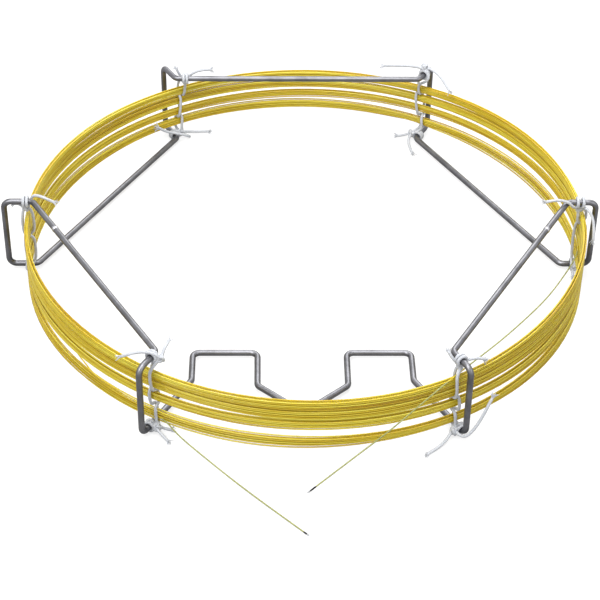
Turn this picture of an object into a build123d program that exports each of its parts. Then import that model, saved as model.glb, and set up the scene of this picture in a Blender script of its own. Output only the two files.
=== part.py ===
from build123d import *
import math
import os

# Capillary column coil on a bent-wire cage. Millimetres, +Z up.
# Origin: on the surface the cage stands on, under the cage's axis. +X points at the right
# post, -Y at the chord with the two hanger tabs.

os.makedirs("parts", exist_ok=True)

# ---------------------------------------------------------------- driving dimensions
# Cage
WIRE_DIAMETER = 1.9
POST_RADIUS = 94.0              # cage axis to the centreline of an upright post
CORNER_RADIUS = 84.8            # cage axis to the corner where a leg turns into a chord
LEG_SPACING = 24.5              # lower leg centreline to upper leg centreline
WIRE_BEND_RADIUS = 2.4
TAB_OUTER_HALF_WIDTH = 33.4     # cage mid-plane to the outer bar of a hanger tab
TAB_INNER_HALF_WIDTH = 13.6     # cage mid-plane to the inner bar of a hanger tab
TAB_TOP_DISTANCE = 45.0         # cage axis to the cross bar of a hanger tab
TAB_FOOT_DISTANCE = 60.2        # cage axis to the foot of a tab's inner bar
TAB_BEND_RADIUS = 2.2
VALLEY_DISTANCE = 72.3          # cage axis to the point where the two diagonals meet
WELD_SETBACK = 17.0             # corner to butt weld, along the chord
WELD_LENGTH = 1.2
WELD_DIAMETER = 2.3

# Capillary and its coil
CAPILLARY_DIAMETER = 0.45
COIL_RADIUS = 88.4              # coil axis to the middle of a bundle
COIL_SHIFT = 1.6                # the coil sits off the cage axis, towards +X
BUNDLE_THICKNESS = 1.4          # across a bundle, along the coil's radius
BUNDLE_HEIGHT = 3.0
BUNDLE_CHAMFER = 0.45           # a bundle's section has cut corners
BUNDLE_GAP = 1.5
BUNDLE_COUNT = 4
COIL_SEAT = 1.75                # top of a lower leg to the underside of the lowest bundle
CHAR_LENGTH_A = 1.2             # burnt length of the coating at each sealed end
CHAR_LENGTH_B = 2.2
BEAD_LENGTH = 0.9

# Ties
STRING_DIAMETER = 1.0
LAP_CLEARANCE = 0.05            # wire surface to the string lapped round it
LAP_SPACING = 1.15              # between the two laps of a tie on the wire
TAILS_UPPER_Z = 26.35           # height of the upper legs that the tails in TIES are given for
STRING_SPACING = 1.3            # between the two strings of a tie, along the coil
WEAVE_CLEARANCE = 0.2           # bundle surface to a string beside it
KNOT_RADIUS = 1.45              # a knot's lump is a short upright barrel
KNOT_HEIGHT = 2.8
KNOT_ROUNDING = 1.1
KNOT_CLEARANCE = 0.05           # wire surface to the lump of a knot beside it
LANE_BULGE = 0.4                # how far a string stands off between two swaps

# ---------------------------------------------------------------- derived dimensions
WIRE_RADIUS = WIRE_DIAMETER / 2
STRING_RADIUS = STRING_DIAMETER / 2
CAPILLARY_RADIUS = CAPILLARY_DIAMETER / 2
LAP_RADIUS = WIRE_RADIUS + LAP_CLEARANCE + STRING_RADIUS
KNOT_SIDE = WIRE_RADIUS + KNOT_CLEARANCE + KNOT_RADIUS
KNOT_RISE = WIRE_RADIUS + KNOT_CLEARANCE + KNOT_HEIGHT / 2
LOWER_Z = LAP_RADIUS + STRING_RADIUS
UPPER_Z = LOWER_Z + LEG_SPACING
COIL_BOTTOM = LOWER_Z + WIRE_RADIUS + COIL_SEAT
BUNDLE_PITCH = BUNDLE_HEIGHT + BUNDLE_GAP
COIL_TOP = COIL_BOTTOM + BUNDLE_COUNT * BUNDLE_PITCH - BUNDLE_GAP
LANE_OFFSET = BUNDLE_THICKNESS / 2 + WEAVE_CLEARANCE + STRING_RADIUS

POST_ANGLES = {
    "right": 0,
    "back_right": 60,
    "back_left": 120,
    "left": 180,
    "front_left": 240,
    "front_right": 300,
}


def around(angle, out, up, side=0.0):
    """Point at a post: out from the cage axis, side to the left of that, up from the base."""
    turn = math.radians(angle)
    return Vector(
        out * math.cos(turn) - side * math.sin(turn),
        out * math.sin(turn) + side * math.cos(turn),
        up,
    )


def coil_reach(angle):
    """Distance from the cage axis to the middle of the coil's bundles at this angle."""
    turn = math.radians(angle)
    across = COIL_SHIFT * math.sin(turn)
    return COIL_SHIFT * math.cos(turn) + math.sqrt(COIL_RADIUS**2 - across**2)


def bundle_middle(number):
    """Height of the middle of a bundle, counted from 1 at the top."""
    return COIL_TOP - BUNDLE_HEIGHT / 2 - (number - 1) * BUNDLE_PITCH


def gap_middle(number):
    """Height of the middle of the gap under bundle number."""
    return bundle_middle(number) - BUNDLE_PITCH / 2


def turn_at(before, corner, after):
    """Angle in degrees by which the route turns at a corner."""
    return (corner - before).get_angle(after - corner)


def route_radii(points):
    """Largest arcs that the runs of a cord's route allow, one for each corner."""
    radii = []
    for before, corner, after in zip(points, points[1:], points[2:]):
        shorter = min((corner - before).length, (after - corner).length)
        half_turn = math.radians(turn_at(before, corner, after)) / 2
        radii.append(0.45 * shorter / math.tan(half_turn))
    return radii


def tube(points, diameter, radii):
    """Round bar along straight runs joined by tangent arcs."""
    path = FilletPolyline(*points, radius=radii)
    section = Plane(origin=points[0], z_dir=points[1] - points[0]) * Circle(diameter / 2)
    return sweep(section, path=path.wire() if hasattr(path, "wire") else path)


def cord(name, points, diameter):
    """Tube of a cord, with a line about its arcs and its volume."""
    radii = route_radii(points)
    solid = tube(points, diameter, radii)
    section = math.pi * diameter**2 / 4
    length = FilletPolyline(*points, radius=radii).length
    ratio = solid.volume / (section * length)
    print(f"{name}: length {length:.1f}, least radius {min(radii):.2f}, volume ratio {ratio:.4f}")
    return solid


def write(solid, name):
    export_step(solid, f"parts/{name}.step")


# ---------------------------------------------------------------- cage
def corner(post, level):
    return around(POST_ANGLES[post], CORNER_RADIUS, level)


def post_bend(post, level):
    return around(POST_ANGLES[post], POST_RADIUS, level)


def weld_point(post, neighbour):
    """Middle of the butt weld on the upper chord from post towards neighbour."""
    start = corner(post, UPPER_Z)
    return start + (corner(neighbour, UPPER_Z) - start).normalized() * WELD_SETBACK


def weld_side(middle, towards):
    """Where a wire meets the weld: half a weld from its middle."""
    return middle + (towards - middle).normalized() * (WELD_LENGTH / 2)


def upright(post, upward):
    """Corners of one post's U: corner, bend, bend, corner, in walking order."""
    low, high = LOWER_Z, UPPER_Z
    first, last = (low, high) if upward else (high, low)
    return [corner(post, first), post_bend(post, first), post_bend(post, last), corner(post, last)]


left_weld = weld_point("left", "front_left")
right_weld = weld_point("right", "front_right")

rear_corners = (
    upright("left", False)
    + upright("back_left", True)
    + upright("back_right", False)
    + upright("right", True)
)
rear_route = (
    [weld_side(left_weld, corner("left", UPPER_Z))]
    + rear_corners
    + [weld_side(right_weld, corner("right", UPPER_Z))]
)
rear_wire = tube(rear_route, WIRE_DIAMETER, [WIRE_BEND_RADIUS] * len(rear_corners))
write(rear_wire, "rear_wire")

# The lower legs of the front posts run on inwards until they meet the tabs' outer bars.
tab_foot_reach = TAB_OUTER_HALF_WIDTH / math.cos(math.radians(60))
left_foot = around(POST_ANGLES["front_left"], tab_foot_reach, LOWER_Z)
left_tab = [
    left_foot,
    Vector(-TAB_OUTER_HALF_WIDTH, -TAB_TOP_DISTANCE, LOWER_Z),
    Vector(-TAB_INNER_HALF_WIDTH, -TAB_TOP_DISTANCE, LOWER_Z),
    Vector(-TAB_INNER_HALF_WIDTH, -TAB_FOOT_DISTANCE, LOWER_Z),
]
right_tab = [Vector(-point.X, point.Y, point.Z) for point in reversed(left_tab)]
valley = Vector(0, -VALLEY_DISTANCE, LOWER_Z)
front_left_u = upright("front_left", False)[:-1]
front_right_u = upright("front_right", True)[1:]
front_corners = front_left_u + left_tab + [valley] + right_tab + front_right_u
front_radii = (
    [WIRE_BEND_RADIUS] * len(front_left_u)
    + [TAB_BEND_RADIUS] * (len(left_tab) + 1 + len(right_tab))
    + [WIRE_BEND_RADIUS] * len(front_right_u)
)
front_route = (
    [weld_side(left_weld, corner("front_left", UPPER_Z))]
    + front_corners
    + [weld_side(right_weld, corner("front_right", UPPER_Z))]
)
front_wire = tube(front_route, WIRE_DIAMETER, front_radii)
write(front_wire, "front_wire")

for name, middle, post in (
    ("weld_left", left_weld, "left"),
    ("weld_right", right_weld, "right"),
):
    direction = (corner(post, UPPER_Z) - middle).normalized()
    bead = Cylinder(WELD_DIAMETER / 2, WELD_LENGTH)
    write(Plane(origin=middle, z_dir=direction) * bead, name)

# ---------------------------------------------------------------- coil
for number in range(1, BUNDLE_COUNT + 1):
    section = Rectangle(BUNDLE_THICKNESS, BUNDLE_HEIGHT)
    section = chamfer(section.vertices(), BUNDLE_CHAMFER)
    profile = Plane.XZ * Pos(COIL_RADIUS, bundle_middle(number)) * section
    write(Pos(COIL_SHIFT, 0) * revolve(profile, Axis.Z), f"capillary_bundle_{number}")

# ---------------------------------------------------------------- free ends of the capillary
# Each route runs from the coil to the start of the charred tip, chosen by hand.
free_end_a_route = [
    Vector(-41.0, -78.1, 5.6),
    Vector(-36.4, -84.5, 4.2),
    Vector(-28.9, -91.6, 2.6),
    Vector(-20.8, -99.2, 1.0),
    Vector(-11.8, -107.9, CAPILLARY_RADIUS),
    Vector(-0.7, -119.2, CAPILLARY_RADIUS),
]
free_end_b_route = [
    Vector(89.5, -3.4, 10.6),
    Vector(87.3, -11.2, 12.2),
    Vector(82.9, -20.6, 13.6),
    Vector(75.4, -35.4, 16.3),
    Vector(66.6, -49.6, 19.2),
    Vector(57.6, -62.2, 21.1),
    Vector(48.3, -73.0, 22.0),
    Vector(40.2, -81.3, 21.6),
    Vector(32.3, -86.6, 17.5),
    Vector(23.8, -91.2, 12.0),
    Vector(16.0, -95.3, 8.0),
    Vector(9.5, -98.7, 4.7),
    Vector(3.1, -102.0, 1.5),
]


def sealed_tip(name, route, char_length):
    """Charred length and melted glass bead beyond the end of a free end."""
    end = route[-1]
    along = (end - route[-2]).normalized()
    char = Plane(origin=end, z_dir=along) * Cylinder(
        CAPILLARY_RADIUS, char_length, align=(Align.CENTER, Align.CENTER, Align.MIN)
    )
    write(char, f"charred_tip_{name}")
    dome = Sphere(CAPILLARY_RADIUS)
    neck = Cylinder(
        CAPILLARY_RADIUS,
        BEAD_LENGTH - CAPILLARY_RADIUS,
        align=(Align.CENTER, Align.CENTER, Align.MAX),
    )
    bead = Plane(origin=end + along * (char_length + BEAD_LENGTH - CAPILLARY_RADIUS), z_dir=along)
    write(bead * (dome + neck), f"glass_bead_{name}")


write(cord("free_end_a", free_end_a_route, CAPILLARY_DIAMETER), "free_end_a")
write(cord("free_end_b", free_end_b_route, CAPILLARY_DIAMETER), "free_end_b")
sealed_tip("a", free_end_a_route, CHAR_LENGTH_A)
sealed_tip("b", free_end_b_route, CHAR_LENGTH_B)

# ---------------------------------------------------------------- ties
# Each post has one tie of two strings. Both are lapped round the upper wire and knotted,
# weave down through the coil on opposite sides of it, change sides in the gaps under the
# named bundles, and are lapped round the lower leg and knotted again.
# Places are (out, side, up) at the post: out from the cage axis, side to its left, up.
# "lean" is the tie's sideways place at the top and at the bottom of the coil.
# "swap" numbers the bundles under which the strings change sides; string a starts inside.
# "crossed" puts string a to the left of string b. "drop" leads a string past the wire.
TIES = {
    "right": {
        "lean": (0.3, 0.3),
        "swap": (1,),
        "upper_lap": ((88.9, 0, UPPER_Z), (1, 0, 0), 0.9),
        "upper_knot": (88.7, 0.3, UPPER_Z - KNOT_RISE),
        "lower_lap": ((88.9, 0, LOWER_Z), (1, 0, 0), LAP_SPACING / 2),
        "lower_knot": (88.9, -KNOT_SIDE, LOWER_Z + 0.35),
        "lower_order": -1,
        "a_tail": [(77.0, -2.8, 28.4), (80.5, -2.1, 28.9), (84.6, -2.1, 28.1), (86.4, -2.0, 25.8)],
        "b_tail": [(92.9, -7.6, 16.6), (93.2, -5.6, 19.6), (92.8, -3.2, 22.8), (91.2, -1.6, 24.9),
                   (89.4, -0.5, 25.1)],
        "a_foot": [(90.1, -4.9, 0.9), (90.0, -3.8, 1.3)],
        "b_foot": [(88.5, -5.2, 0.8), (88.6, -3.9, 1.2)],
    },
    "back_right": {
        "lean": (2.2, -0.3),
        "swap": (1, 3),
        "upper_lap": ((88.9, 0, UPPER_Z), (1, 0, 0), LAP_SPACING / 2),
        "upper_knot": (89.3, 0.3, UPPER_Z + KNOT_RISE),
        "lower_lap": ((86.9, 0, LOWER_Z), (1, 0, 0), LAP_SPACING / 2),
        "lower_knot": (86.3, KNOT_SIDE, LOWER_Z + 0.45),
        "a_tail": [(83.4, 13.4, 28.6), (85.2, 9.0, 29.0), (87.0, 4.8, 29.2)],
        "b_tail": [(86.4, -11.2, 24.0), (88.2, -8.0, 26.0), (89.6, -4.4, 28.0)],
        "a_drop": [(88.2, -2.2, 26.8), (87.4, -1.9, 24.6)],
        "b_drop": [(90.8, 2.2, 26.6)],
        "a_foot": [(77.6, -2.4, 0.6), (80.6, 0.4, 0.8), (83.4, 2.2, 1.4)],
        "b_foot": [(84.6, 7.4, 0.7), (85.4, 5.2, 1.2)],
    },
    "back_left": {
        "lean": (-3.6, -1.8),
        "swap": (1, 3),
        "upper_lap": ((83.1, -2.94, UPPER_Z), (-0.5, -0.866, 0), LAP_SPACING / 2),
        "upper_knot": (85.2, -3.6, UPPER_Z - 1.4),
        "upper_order": -1,
        "lower_lap": ((87.1, 0, LOWER_Z), (1, 0, 0), LAP_SPACING / 2),
        "lower_knot": (86.6, -KNOT_SIDE, LOWER_Z + 0.45),
        "a_tail": [(80.8, -11.8, 28.6), (82.6, -8.8, 28.4), (84.2, -6.4, 27.0)],
        "b_tail": [(86.6, -1.2, 29.2), (86.4, -2.2, 26.8)],
        "a_foot": [(85.4, 7.2, 8.2), (85.4, 4.4, 5.6), (84.8, 0.8, 4.1), (83.7, -2.6, 2.9),
                   (83.8, -4.4, 1.5), (84.8, -4.7, 1.1), (86.0, -3.9, 1.3)],
        "b_foot": [(84.6, -12.6, 0.7), (86.0, -9.2, 0.9), (87.2, -5.8, 1.3)],
    },
    "left": {
        "lean": (-0.2, -0.2),
        "swap": (2,),
        "upper_lap": ((87.1, 0, UPPER_Z), (1, 0, 0), LAP_SPACING / 2),
        "upper_knot": (87.1, -0.2, UPPER_Z - KNOT_RISE),
        "lower_lap": ((87.5, 0, LOWER_Z), (1, 0, 0), LAP_SPACING / 2),
        "lower_knot": (87.5, KNOT_SIDE, LOWER_Z + 0.35),
        "lower_order": -1,
        "a_tail": [(77.6, 1.4, 26.9), (81.0, 0.4, 28.2), (84.4, -1.4, 28.0), (85.6, -1.8, 25.8)],
        "b_tail": [(91.4, -2.8, 23.4), (89.6, -1.6, 24.6)],
        "a_foot": [(86.7, 5.6, 0.8), (87.2, 4.2, 1.3)],
        "b_foot": [(85.0, 5.2, 0.8), (85.8, 4.0, 1.3)],
    },
    "front_left": {
        "lean": (-0.4, 1.2),
        "swap": (2, 3),
        "upper_lap": ((87.0, 0, UPPER_Z), (1, 0, 0), LAP_SPACING / 2),
        "upper_knot": (86.3, KNOT_SIDE, UPPER_Z - 0.3),
        "lower_lap": ((89.7, 0, LOWER_Z), (1, 0, 0), LAP_SPACING / 2),
        "lower_knot": (89.7, KNOT_SIDE, LOWER_Z + 0.45),
        "a_tail": [(80.8, 2.0, 28.6), (83.0, 2.3, 28.6), (84.8, 2.5, 27.8)],
        "b_tail": [(92.0, -7.8, 26.4), (90.4, -4.4, 28.2), (88.6, -0.9, 28.8), (87.4, 1.6, 27.9)],
        "a_foot": [(87.0, 5.8, 0.7), (88.0, 4.4, 1.2)],
        "b_foot": [(91.6, 7.4, 0.6), (91.0, 5.8, 0.9), (90.6, 4.2, 1.4)],
    },
    "front_right": {
        "lean": (-1.6, -0.8),
        "swap": (2, 3),
        "crossed": True,
        "upper_lap": ((88.9, 0, UPPER_Z), (1, 0, 0), LAP_SPACING / 2),
        "upper_knot": (88.5, 0.2, UPPER_Z - KNOT_RISE),
        "lower_lap": ((91.4, 0, LOWER_Z), (1, 0, 0), LAP_SPACING / 2),
        "lower_knot": (91.6, -KNOT_SIDE, LOWER_Z + 0.35),
        "a_tail": [(89.8, 8.0, 23.9), (89.2, 5.6, 25.0), (88.6, 3.2, 25.0)],
        "b_tail": [(86.0, -2.5, 28.4), (87.2, -2.1, 26.6)],
        "a_foot": [(94.4, -13.6, 0.6), (94.0, -9.8, 0.8), (92.8, -5.8, 1.3)],
        "b_foot": [(95.8, 7.4, 14.6), (96.3, 4.4, 9.8), (96.4, 1.4, 5.2), (95.6, -1.4, 2.2)],
    },
}
KNOT_SEAM_TURN = 30             # degrees that keep the barrel's seam clear of the laps
KNOT_STRAND_OFFSET = 0.56       # from a knot's middle to either string in it
LANE_TOP_RISE = 1.2             # coil top to the point where a string leaves its lane
LANE_BOTTOM_DROP = 0.5          # coil bottom to the point where a string leaves its lane


def tie_place(post, place):
    out, side, up = place
    return around(POST_ANGLES[post], out, up, side)


def tie_direction(post, direction):
    return tie_place(post, direction)


def knot(post, lap, middle):
    """Two laps round the wire and the lump of the knot beside them."""
    place, direction, half_spacing = lap
    axis = tie_direction(post, direction)
    centre = tie_place(post, place)
    barrel = Cylinder(KNOT_RADIUS, KNOT_HEIGHT)
    barrel = fillet(barrel.edges().filter_by(GeomType.CIRCLE), KNOT_ROUNDING)
    seat = Plane(origin=tie_place(post, middle), x_dir=axis, z_dir=Vector(0, 0, 1))
    body = seat * Rot(0, 0, KNOT_SEAM_TURN) * barrel
    for offset in (-half_spacing, half_spacing):
        ring = Plane(origin=centre + axis * offset, z_dir=axis) * Torus(LAP_RADIUS, STRING_RADIUS)
        body += ring
    return body


def weave(post, lean, swap, starts_inside, shift):
    """Points of one string from above the coil to below it, changing sides in the gaps."""
    reach = coil_reach(POST_ANGLES[post])
    inside = starts_inside

    def lane(up):
        share = (COIL_TOP - up) / (COIL_TOP - COIL_BOTTOM)
        side = lean[0] + (lean[1] - lean[0]) * share + shift
        out = reach - LANE_OFFSET if inside else reach + LANE_OFFSET
        return tie_place(post, (out, side, up))

    points = [lane(COIL_TOP + LANE_TOP_RISE)]
    for number in range(1, BUNDLE_COUNT):
        height = gap_middle(number)
        if number in swap:
            points.append(lane(height))
            inside = not inside
            points.append(lane(height))
        else:
            bulge = -LANE_BULGE if inside else LANE_BULGE
            middle = lane(height)
            outward = tie_direction(post, (1, 0, 0))
            points.append(middle + outward * bulge)
    points.append(lane(COIL_BOTTOM - LANE_BOTTOM_DROP))
    return points


def string_route(post, tie, letter):
    sign = -1 if letter == "a" else 1
    upper_axis = tie_direction(post, tie["upper_lap"][1])
    lower_axis = tie_direction(post, tie["lower_lap"][1])
    rise = Vector(0, 0, UPPER_Z - TAILS_UPPER_Z)
    tail = [tie_place(post, place) + rise for place in tie[f"{letter}_tail"]]
    foot = [tie_place(post, place) for place in tie[f"{letter}_foot"]]
    upper_step = sign * tie.get("upper_order", 1) * KNOT_STRAND_OFFSET
    lower_step = sign * tie.get("lower_order", 1) * KNOT_STRAND_OFFSET
    upper = tie_place(post, tie["upper_knot"]) + upper_axis * upper_step
    lower = tie_place(post, tie["lower_knot"]) + lower_axis * lower_step
    drop = [tie_place(post, place) + rise for place in tie.get(f"{letter}_drop", [])]
    shift = (-sign if tie.get("crossed") else sign) * STRING_SPACING / 2
    lanes = weave(post, tie["lean"], tie["swap"], letter == "a", shift)
    return tail + [upper] + drop + lanes + [lower] + foot[::-1]


for post, tie in TIES.items():
    write(knot(post, tie["upper_lap"], tie["upper_knot"]), f"upper_knot_{post}")
    write(knot(post, tie["lower_lap"], tie["lower_knot"]), f"lower_knot_{post}")
    for letter in ("a", "b"):
        name = f"tie_{post}_{letter}"
        write(cord(name, string_route(post, tie, letter), STRING_DIAMETER), name)
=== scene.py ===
import math

import bpy
import mathutils
import numpy as np
from bpy.props import FloatProperty, FloatVectorProperty, IntProperty, PointerProperty
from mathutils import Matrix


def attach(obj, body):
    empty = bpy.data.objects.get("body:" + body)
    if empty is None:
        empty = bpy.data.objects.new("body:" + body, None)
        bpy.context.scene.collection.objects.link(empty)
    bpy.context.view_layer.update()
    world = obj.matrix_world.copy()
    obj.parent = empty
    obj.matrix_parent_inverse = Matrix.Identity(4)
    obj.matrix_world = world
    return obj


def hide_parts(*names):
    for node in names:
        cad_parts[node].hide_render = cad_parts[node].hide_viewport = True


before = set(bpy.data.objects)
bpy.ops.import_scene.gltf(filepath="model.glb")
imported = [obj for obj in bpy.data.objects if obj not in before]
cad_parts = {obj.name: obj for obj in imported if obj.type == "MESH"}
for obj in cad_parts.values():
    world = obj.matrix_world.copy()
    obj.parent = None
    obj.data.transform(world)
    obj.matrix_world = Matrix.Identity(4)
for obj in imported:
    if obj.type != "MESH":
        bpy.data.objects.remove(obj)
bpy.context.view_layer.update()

bl_info = {
    "name": "Capillary coil on a wire cage",
    "version": (1, 0, 0),
    "blender": (4, 5, 0),
    "location": "View3D > Sidebar > Capillary coil",
    "description": "Finishes a capillary coil, its string ties and its bent-wire cage",
    "category": "Add Mesh",
}

MM = 0.001

# ------------ places shared with the CAD
CAMERA_PLACE = (-11.960, -475.263, 366.562)
CAMERA_TARGET = (0.064, -7.446, -7.315)
CAMERA_ROLL = 0.968             # degrees

WIRE_RADIUS = 0.95
CORNER_RADIUS = 84.8
WELD_SETBACK = 17.0
WELD_RADIUS = 1.15
WELD_SLEEVE = 2.4               # half the length of the heat-tinted stretch
SLEEVE_RISE = 0.012             # how far that stretch stands off the wire
WELD_SPREAD = 0.52              # from the bead's middle to 1/e of its height
WELD_DENTS = 0.13               # depth of its dents, as a share of its radius
WELD_COLUMNS = 40               # points round a weld
CAPILLARY_DIAMETER = 0.45
CHAR_LENGTH_A = 1.2
CHAR_LENGTH_B = 2.2
BEAD_LENGTH = 0.9
BEAD_NECK = 0.20                # how much thinner a bead is where it starts, as a share
NECK_LENGTH = 0.35
LEAST_RADIUS = 0.004            # at a bead's end
CHAR_DENTS = 0.16
BEAD_DENTS = 0.05
TIP_COLUMNS = 32                # points round a burnt tip or a bead
BURNT_SWELL = 0.22              # most that the burnt coat swells, as a share of its radius
STRING_RADIUS = 0.5
LAP_RADIUS = 1.5
KNOT_SIDE = 2.45                # from a leg's middle to that of a knot beside it
KNOT_LIFT = 2.4                 # the same for a knot above or below
KNOT_LOOP = 0.30                # size of the knot's three-lobed loop
KNOT_LOOP_RISE = 0.86
KNOT_STRAND = 0.96              # thickness of the string in that loop, as a share
LOWER_Z = 2.0
UPPER_Z = 26.5
TAILS_UPPER_Z = 26.35           # height of the upper legs that the tails in TIES are given for
COIL_RADIUS = 88.4
COIL_SHIFT = 1.6
COIL_TOP = 21.2
COIL_BOTTOM = 4.7
LANE_OFFSET = 1.4
LANE_TOP_RISE = 1.2
LANE_BOTTOM_DROP = 0.5
LANE_BULGE = 0.4
LANE_CLEARANCE = 0.7
FLOOR_GAP = 0.002               # a string on the floor just clears it
TOP_Z = 30.29                   # the tie ends reach no higher
STRING_SPACING = 1.3
KNOT_STRAND_OFFSET = 0.56
END_THINNING = 0.20             # how much thinner a string is at its cut end, as a share
THINNING_LENGTH = 0.8
FILAMENTS = 16                  # loose ones round each cut end
FILAMENT_LEAN = 0.34            # their spread, as a share of their length
FILAMENT_REACH = (1.1, 2.0)     # shortest and longest
FILAMENT_ROOT = 0.7             # how far inside the string they start
FILAMENT_SPREAD = 0.35          # how far apart they start, as a share of their lean
FILAMENT_RADIUS = 0.17
FILAMENT_TAPER = 0.10           # taken off its radius by its tip
FILAMENT_FLOOR = 0.11           # no filament's middle is lower

POST_ANGLES = {
    "right": 0,
    "back_right": 60,
    "back_left": 120,
    "left": 180,
    "front_left": 240,
    "front_right": 300,
}

FREE_END_A = [
    (-41.0, -78.1, 5.6),
    (-36.4, -84.5, 4.2),
    (-28.9, -91.6, 2.6),
    (-20.8, -99.2, 1.0),
    (-11.8, -107.9, 0.235),
    (-1.1, -118.793, 0.31),
    (-0.7, -119.2, 0.315),
]
FREE_END_B = [
    (89.5, -3.4, 12.0),
    (87.3, -11.2, 12.9),
    (82.9, -20.6, 14.0),
    (75.4, -35.4, 16.3),
    (66.6, -49.6, 19.2),
    (57.6, -62.2, 21.1),
    (48.3, -73.0, 22.0),
    (40.2, -81.3, 21.6),
    (32.3, -86.6, 17.5),
    (23.8, -91.2, 12.0),
    (16.1, -95.4, 8.1),
    (9.6, -99.0, 4.8),
    (3.1, -102.6, 1.5),
]

# Places are (out, side, up) at the post: out from the cage axis, side to its left, up.
TIES = {
    "right": {
        "lean": (0.3, 0.3),
        "swap": (1,),
        "upper_lap": ((88.9, 0, UPPER_Z), (1, 0, 0), 0.9),
        "upper_knot": (88.7, 0.3, UPPER_Z - KNOT_LIFT),
        "lower_lap": ((88.9, 0, LOWER_Z), (1, 0, 0), 0.575),
        "lower_knot": (88.9, -KNOT_SIDE, LOWER_Z + 0.35),
        "lower_order": -1,
        "a_tail": [(77.0, -2.8, 28.4), (80.5, -2.1, 28.9), (84.6, -2.1, 28.1), (86.4, -2.0, 25.8)],
        "b_tail": [(92.9, -7.6, 16.6), (93.2, -5.6, 19.6), (92.8, -3.2, 22.8), (91.2, -1.6, 24.9),
                   (89.4, -0.5, 25.1)],
        "a_foot": [(90.1, -4.9, 0.9), (90.0, -3.8, 1.3)],
        "b_foot": [(88.5, -5.2, 0.8), (88.6, -3.9, 1.2)],
    },
    "back_right": {
        "lean": (2.2, -0.3),
        "swap": (1, 3),
        "upper_lap": ((88.9, 0, UPPER_Z), (1, 0, 0), 0.575),
        "upper_knot": (89.3, 0.3, UPPER_Z + KNOT_LIFT),
        "lower_lap": ((86.9, 0, LOWER_Z), (1, 0, 0), 0.575),
        "lower_knot": (86.3, KNOT_SIDE, LOWER_Z + 0.45),
        "a_tail": [(83.4, 13.4, 28.6), (85.2, 9.0, 29.0), (87.0, 4.8, 29.2)],
        "b_tail": [(86.4, -11.2, 24.0), (88.2, -8.0, 26.0), (89.6, -4.4, 28.0)],
        "a_drop": [(88.2, -2.2, 26.8), (87.4, -1.9, 24.6)],
        "b_drop": [(90.8, 2.2, 26.6)],
        "a_foot": [(77.6, -2.4, 0.6), (80.6, 0.4, 0.8), (83.4, 2.2, 1.4)],
        "b_foot": [(84.6, 7.4, 0.7), (85.4, 5.2, 1.2)],
    },
    "back_left": {
        "lean": (-3.6, -1.8),
        "swap": (1, 3),
        "upper_lap": ((83.1, -2.94, UPPER_Z), (-0.5, -0.866, 0), 0.575),
        "upper_knot": (85.2, -3.6, UPPER_Z - 1.4),
        "upper_order": -1,
        "lower_lap": ((87.1, 0, LOWER_Z), (1, 0, 0), 0.575),
        "lower_knot": (86.6, -KNOT_SIDE, LOWER_Z + 0.45),
        "a_tail": [(80.8, -11.8, 28.6), (82.6, -8.8, 28.4), (84.2, -6.4, 27.0)],
        "b_tail": [(86.6, -1.2, 29.2), (86.4, -2.2, 26.8)],
        "a_foot": [(85.4, 7.2, 8.2), (85.4, 4.4, 5.6), (84.8, 0.8, 4.1), (83.7, -2.6, 2.9),
                   (83.8, -4.4, 1.5), (84.8, -4.7, 1.1), (86.0, -3.9, 1.3)],
        "b_foot": [(84.6, -12.6, 0.7), (86.0, -9.2, 0.9), (87.2, -5.8, 1.3)],
    },
    "left": {
        "lean": (-0.2, -0.2),
        "swap": (2,),
        "upper_lap": ((87.1, 0, UPPER_Z), (1, 0, 0), 0.575),
        "upper_knot": (87.1, -0.2, UPPER_Z - KNOT_LIFT),
        "lower_lap": ((87.5, 0, LOWER_Z), (1, 0, 0), 0.575),
        "lower_knot": (87.5, KNOT_SIDE, LOWER_Z + 0.35),
        "lower_order": -1,
        "a_tail": [(77.6, 1.4, 26.9), (81.0, 0.4, 28.2), (84.4, -1.4, 28.0), (85.6, -1.8, 25.8)],
        "b_tail": [(91.4, -2.8, 23.4), (89.6, -1.6, 24.6)],
        "a_foot": [(86.7, 5.6, 0.8), (87.2, 4.2, 1.3)],
        "b_foot": [(85.0, 5.2, 0.8), (85.8, 4.0, 1.3)],
    },
    "front_left": {
        "lean": (-0.4, 1.2),
        "swap": (2, 3),
        "upper_lap": ((87.0, 0, UPPER_Z), (1, 0, 0), 0.575),
        "upper_knot": (86.3, KNOT_SIDE, UPPER_Z - 0.3),
        "lower_lap": ((89.7, 0, LOWER_Z), (1, 0, 0), 0.575),
        "lower_knot": (89.7, KNOT_SIDE, LOWER_Z + 0.45),
        "a_tail": [(80.8, 2.0, 28.6), (83.0, 2.3, 28.6), (84.8, 2.5, 27.8)],
        "b_tail": [(92.0, -7.8, 26.4), (90.4, -4.4, 28.2), (88.6, -0.9, 28.8), (87.4, 1.6, 27.9)],
        "a_foot": [(87.0, 5.8, 0.7), (88.0, 4.4, 1.2)],
        "b_foot": [(91.6, 7.4, 0.6), (91.0, 5.8, 0.9), (90.6, 4.2, 1.4)],
    },
    "front_right": {
        "lean": (-1.6, -0.8),
        "swap": (2, 3),
        "crossed": True,
        "upper_lap": ((88.9, 0, UPPER_Z), (1, 0, 0), 0.575),
        "upper_knot": (88.5, 0.2, UPPER_Z - KNOT_LIFT),
        "lower_lap": ((91.4, 0, LOWER_Z), (1, 0, 0), 0.575),
        "lower_knot": (91.6, -KNOT_SIDE, LOWER_Z + 0.35),
        "a_tail": [(89.8, 8.0, 23.9), (89.2, 5.6, 25.0), (88.6, 3.2, 25.0)],
        "b_tail": [(86.0, -2.5, 28.4), (87.2, -2.1, 26.6)],
        "a_foot": [(94.4, -13.6, 0.6), (94.0, -9.8, 0.8), (92.8, -5.8, 1.3)],
        "b_foot": [(95.8, 7.4, 14.6), (96.3, 4.4, 9.8), (96.4, 1.4, 5.2), (95.6, -1.4, 2.2)],
    },
}

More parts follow.
